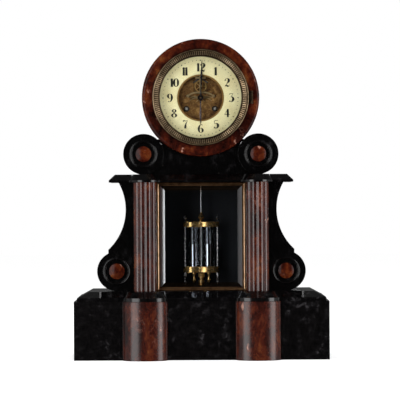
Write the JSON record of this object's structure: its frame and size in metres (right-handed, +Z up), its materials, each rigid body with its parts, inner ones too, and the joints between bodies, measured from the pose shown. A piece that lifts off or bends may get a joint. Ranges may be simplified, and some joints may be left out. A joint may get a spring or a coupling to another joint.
{
  "type": "mantel clock",
  "caption": "Portico mantel clock in black slate and red marble with a round drum head, an open escapement in the dial and a mercury pendulum behind a bevelled glass.",
  "frame": {"origin": "on the ground under the middle of the clock's outer box", "axes": "+Z up, the dial faces -Y, +X to the viewer's right"},
  "size_m": [0.396, 0.17, 0.5],
  "materials": {
    "slate": "polished",
    "red_marble": "polished",
    "brass": "satin",
    "dark_brass": "satin",
    "steel": "polished",
    "blued_steel": "polished",
    "enamel": "glazed",
    "glass": "polished",
    "mercury": "polished",
    "black_iron": "matt"
  },
  "bodies": {
    "case": {"base_front": "slate", "base_carcass": "slate", "base_block_left": "red_marble", "base_block_right": "red_marble", "base_cap": "slate", "console_left": "slate", "console_right": "slate", "console_boss_left": "red_marble", "console_boss_right": "red_marble", "pilaster_left": "red_marble", "pilaster_right": "red_marble", "glass_frame": "brass", "front_glass": "glass", "cornice": "slate", "head_block": "slate", "roll_left": "slate", "roll_right": "slate", "roll_boss_left": "red_marble", "roll_boss_right": "red_marble", "drum_shell": "slate", "drum_ring": "red_marble", "bezel_seat": "brass", "rear_ring": "brass", "strap_screws": "steel", "chapter_ring": "enamel", "dial_centre": "dark_brass", "front_plate": "brass", "back_plate": "brass", "escape_bridge": "brass", "suspension_cock": "brass", "bell": "brass"},
    "bezel_door": {"bezel": "dark_brass", "bezel_glass": "glass"},
    "back_cover": {"rear_cover": "brass"},
    "chamber_door": {"rear_door": "black_iron"},
    "minute_work": {"minute_hand": "blued_steel", "cannon_pinion": "steel", "centre_wheel": "brass", "hand_collet": "brass"},
    "hour_work": {"hour_hand": "blued_steel", "hour_wheel": "brass"},
    "minute_wheel": {"minute_wheel": "brass"},
    "going_barrel": {"going_barrel": "brass"},
    "going_arbor": {"going_arbor": "steel"},
    "strike_barrel": {"strike_barrel": "brass"},
    "strike_arbor": {"strike_arbor": "steel"},
    "intermediate_wheel": {"intermediate_wheel": "brass"},
    "third_wheel": {"third_wheel": "brass"},
    "escape_wheel": {"escape_wheel": "brass"},
    "anchor": {"anchor": "steel", "crutch": "steel"},
    "pendulum": {"suspension_spring": "steel", "pendulum_rod": "steel", "bob_top_band": "brass", "bob_cradle": "brass", "vial_left": "glass", "vial_right": "glass", "mercury": "mercury"},
    "rating_nut": {"rating_nut": "brass"},
    "hammer": {"hammer": "steel"}
  },
  "joints": [
    {"name": "minute_hand_turn", "type": "hinge", "parent": "case", "child": "minute_work", "pos_m": [0, 0, 0.408], "axis": [0, 1, 0], "continuous": true},
    {"name": "hour_hand_turn", "type": "hinge", "parent": "case", "child": "hour_work", "pos_m": [0, 0, 0.408], "axis": [0, 1, 0], "continuous": true},
    {"name": "minute_wheel_turn", "type": "hinge", "parent": "case", "child": "minute_wheel", "pos_m": [0, 0, 0.396], "axis": [0, 1, 0], "continuous": true},
    {"name": "going_barrel_turn", "type": "hinge", "parent": "case", "child": "going_barrel", "pos_m": [0.0223, 0, 0.3913], "axis": [0, 1, 0], "continuous": true},
    {"name": "going_winding", "type": "hinge", "parent": "case", "child": "going_arbor", "pos_m": [0.0223, 0, 0.3913], "axis": [0, 1, 0], "continuous": true},
    {"name": "strike_barrel_turn", "type": "hinge", "parent": "case", "child": "strike_barrel", "pos_m": [-0.0223, 0, 0.3913], "axis": [0, 1, 0], "continuous": true},
    {"name": "strike_winding", "type": "hinge", "parent": "case", "child": "strike_arbor", "pos_m": [-0.0223, 0, 0.3913], "axis": [0, 1, 0], "continuous": true},
    {"name": "intermediate_wheel_turn", "type": "hinge", "parent": "case", "child": "intermediate_wheel", "pos_m": [0.01721, 0, 0.41512], "axis": [0, 1, 0], "continuous": true},
    {"name": "third_wheel_turn", "type": "hinge", "parent": "case", "child": "third_wheel", "pos_m": [-0.01311, 0, 0.41975], "axis": [0, 1, 0], "continuous": true},
    {"name": "escape_wheel_turn", "type": "hinge", "parent": "case", "child": "escape_wheel", "pos_m": [0, 0, 0.4264], "axis": [0, 1, 0], "continuous": true},
    {"name": "pendulum_swing", "type": "hinge", "parent": "case", "child": "pendulum", "pos_m": [0, 0, 0.44], "axis": [0, 1, 0], "range_deg": [-2.5, 2.5]},
    {"name": "anchor_rock", "type": "hinge", "parent": "case", "child": "anchor", "pos_m": [0, 0, 0.44], "axis": [0, 1, 0], "range_deg": [-2.5, 2.5]},
    {"name": "rating_nut_turn", "type": "hinge", "parent": "pendulum", "child": "rating_nut", "pos_m": [0, 0.045, 0.12], "axis": [0, 0, 1], "continuous": true},
    {"name": "hammer_swing", "type": "hinge", "parent": "case", "child": "hammer", "pos_m": [-0.044, 0, 0.395], "axis": [0, 1, 0], "range_deg": [0, 20]},
    {"name": "bezel_open", "type": "hinge", "parent": "case", "child": "bezel_door", "pos_m": [0.08, -0.0345, 0.408], "axis": [0, 0, 1], "range_deg": [0, 110]},
    {"name": "back_cover_open", "type": "hinge", "parent": "case", "child": "back_cover", "pos_m": [0.0595, 0.0792, 0.408], "axis": [0, 0, 1], "range_deg": [-110, 0]},
    {"name": "chamber_door_open", "type": "hinge", "parent": "case", "child": "chamber_door", "pos_m": [0.066, 0.0735, 0.19], "axis": [0, 0, 1], "range_deg": [-105, 0]}
  ],
  "couplings": [
    {"joint": "hour_hand_turn", "follows": "minute_hand_turn", "ratio": 0.083333},
    {"joint": "minute_wheel_turn", "follows": "minute_hand_turn", "ratio": -0.33333},
    {"joint": "intermediate_wheel_turn", "follows": "minute_hand_turn", "ratio": -0.125},
    {"joint": "going_barrel_turn", "follows": "minute_hand_turn", "ratio": 0.020833},
    {"joint": "third_wheel_turn", "follows": "minute_hand_turn", "ratio": -10},
    {"joint": "escape_wheel_turn", "follows": "minute_hand_turn", "ratio": 112.5},
    {"joint": "anchor_rock", "follows": "pendulum_swing", "ratio": 1}
  ]
}
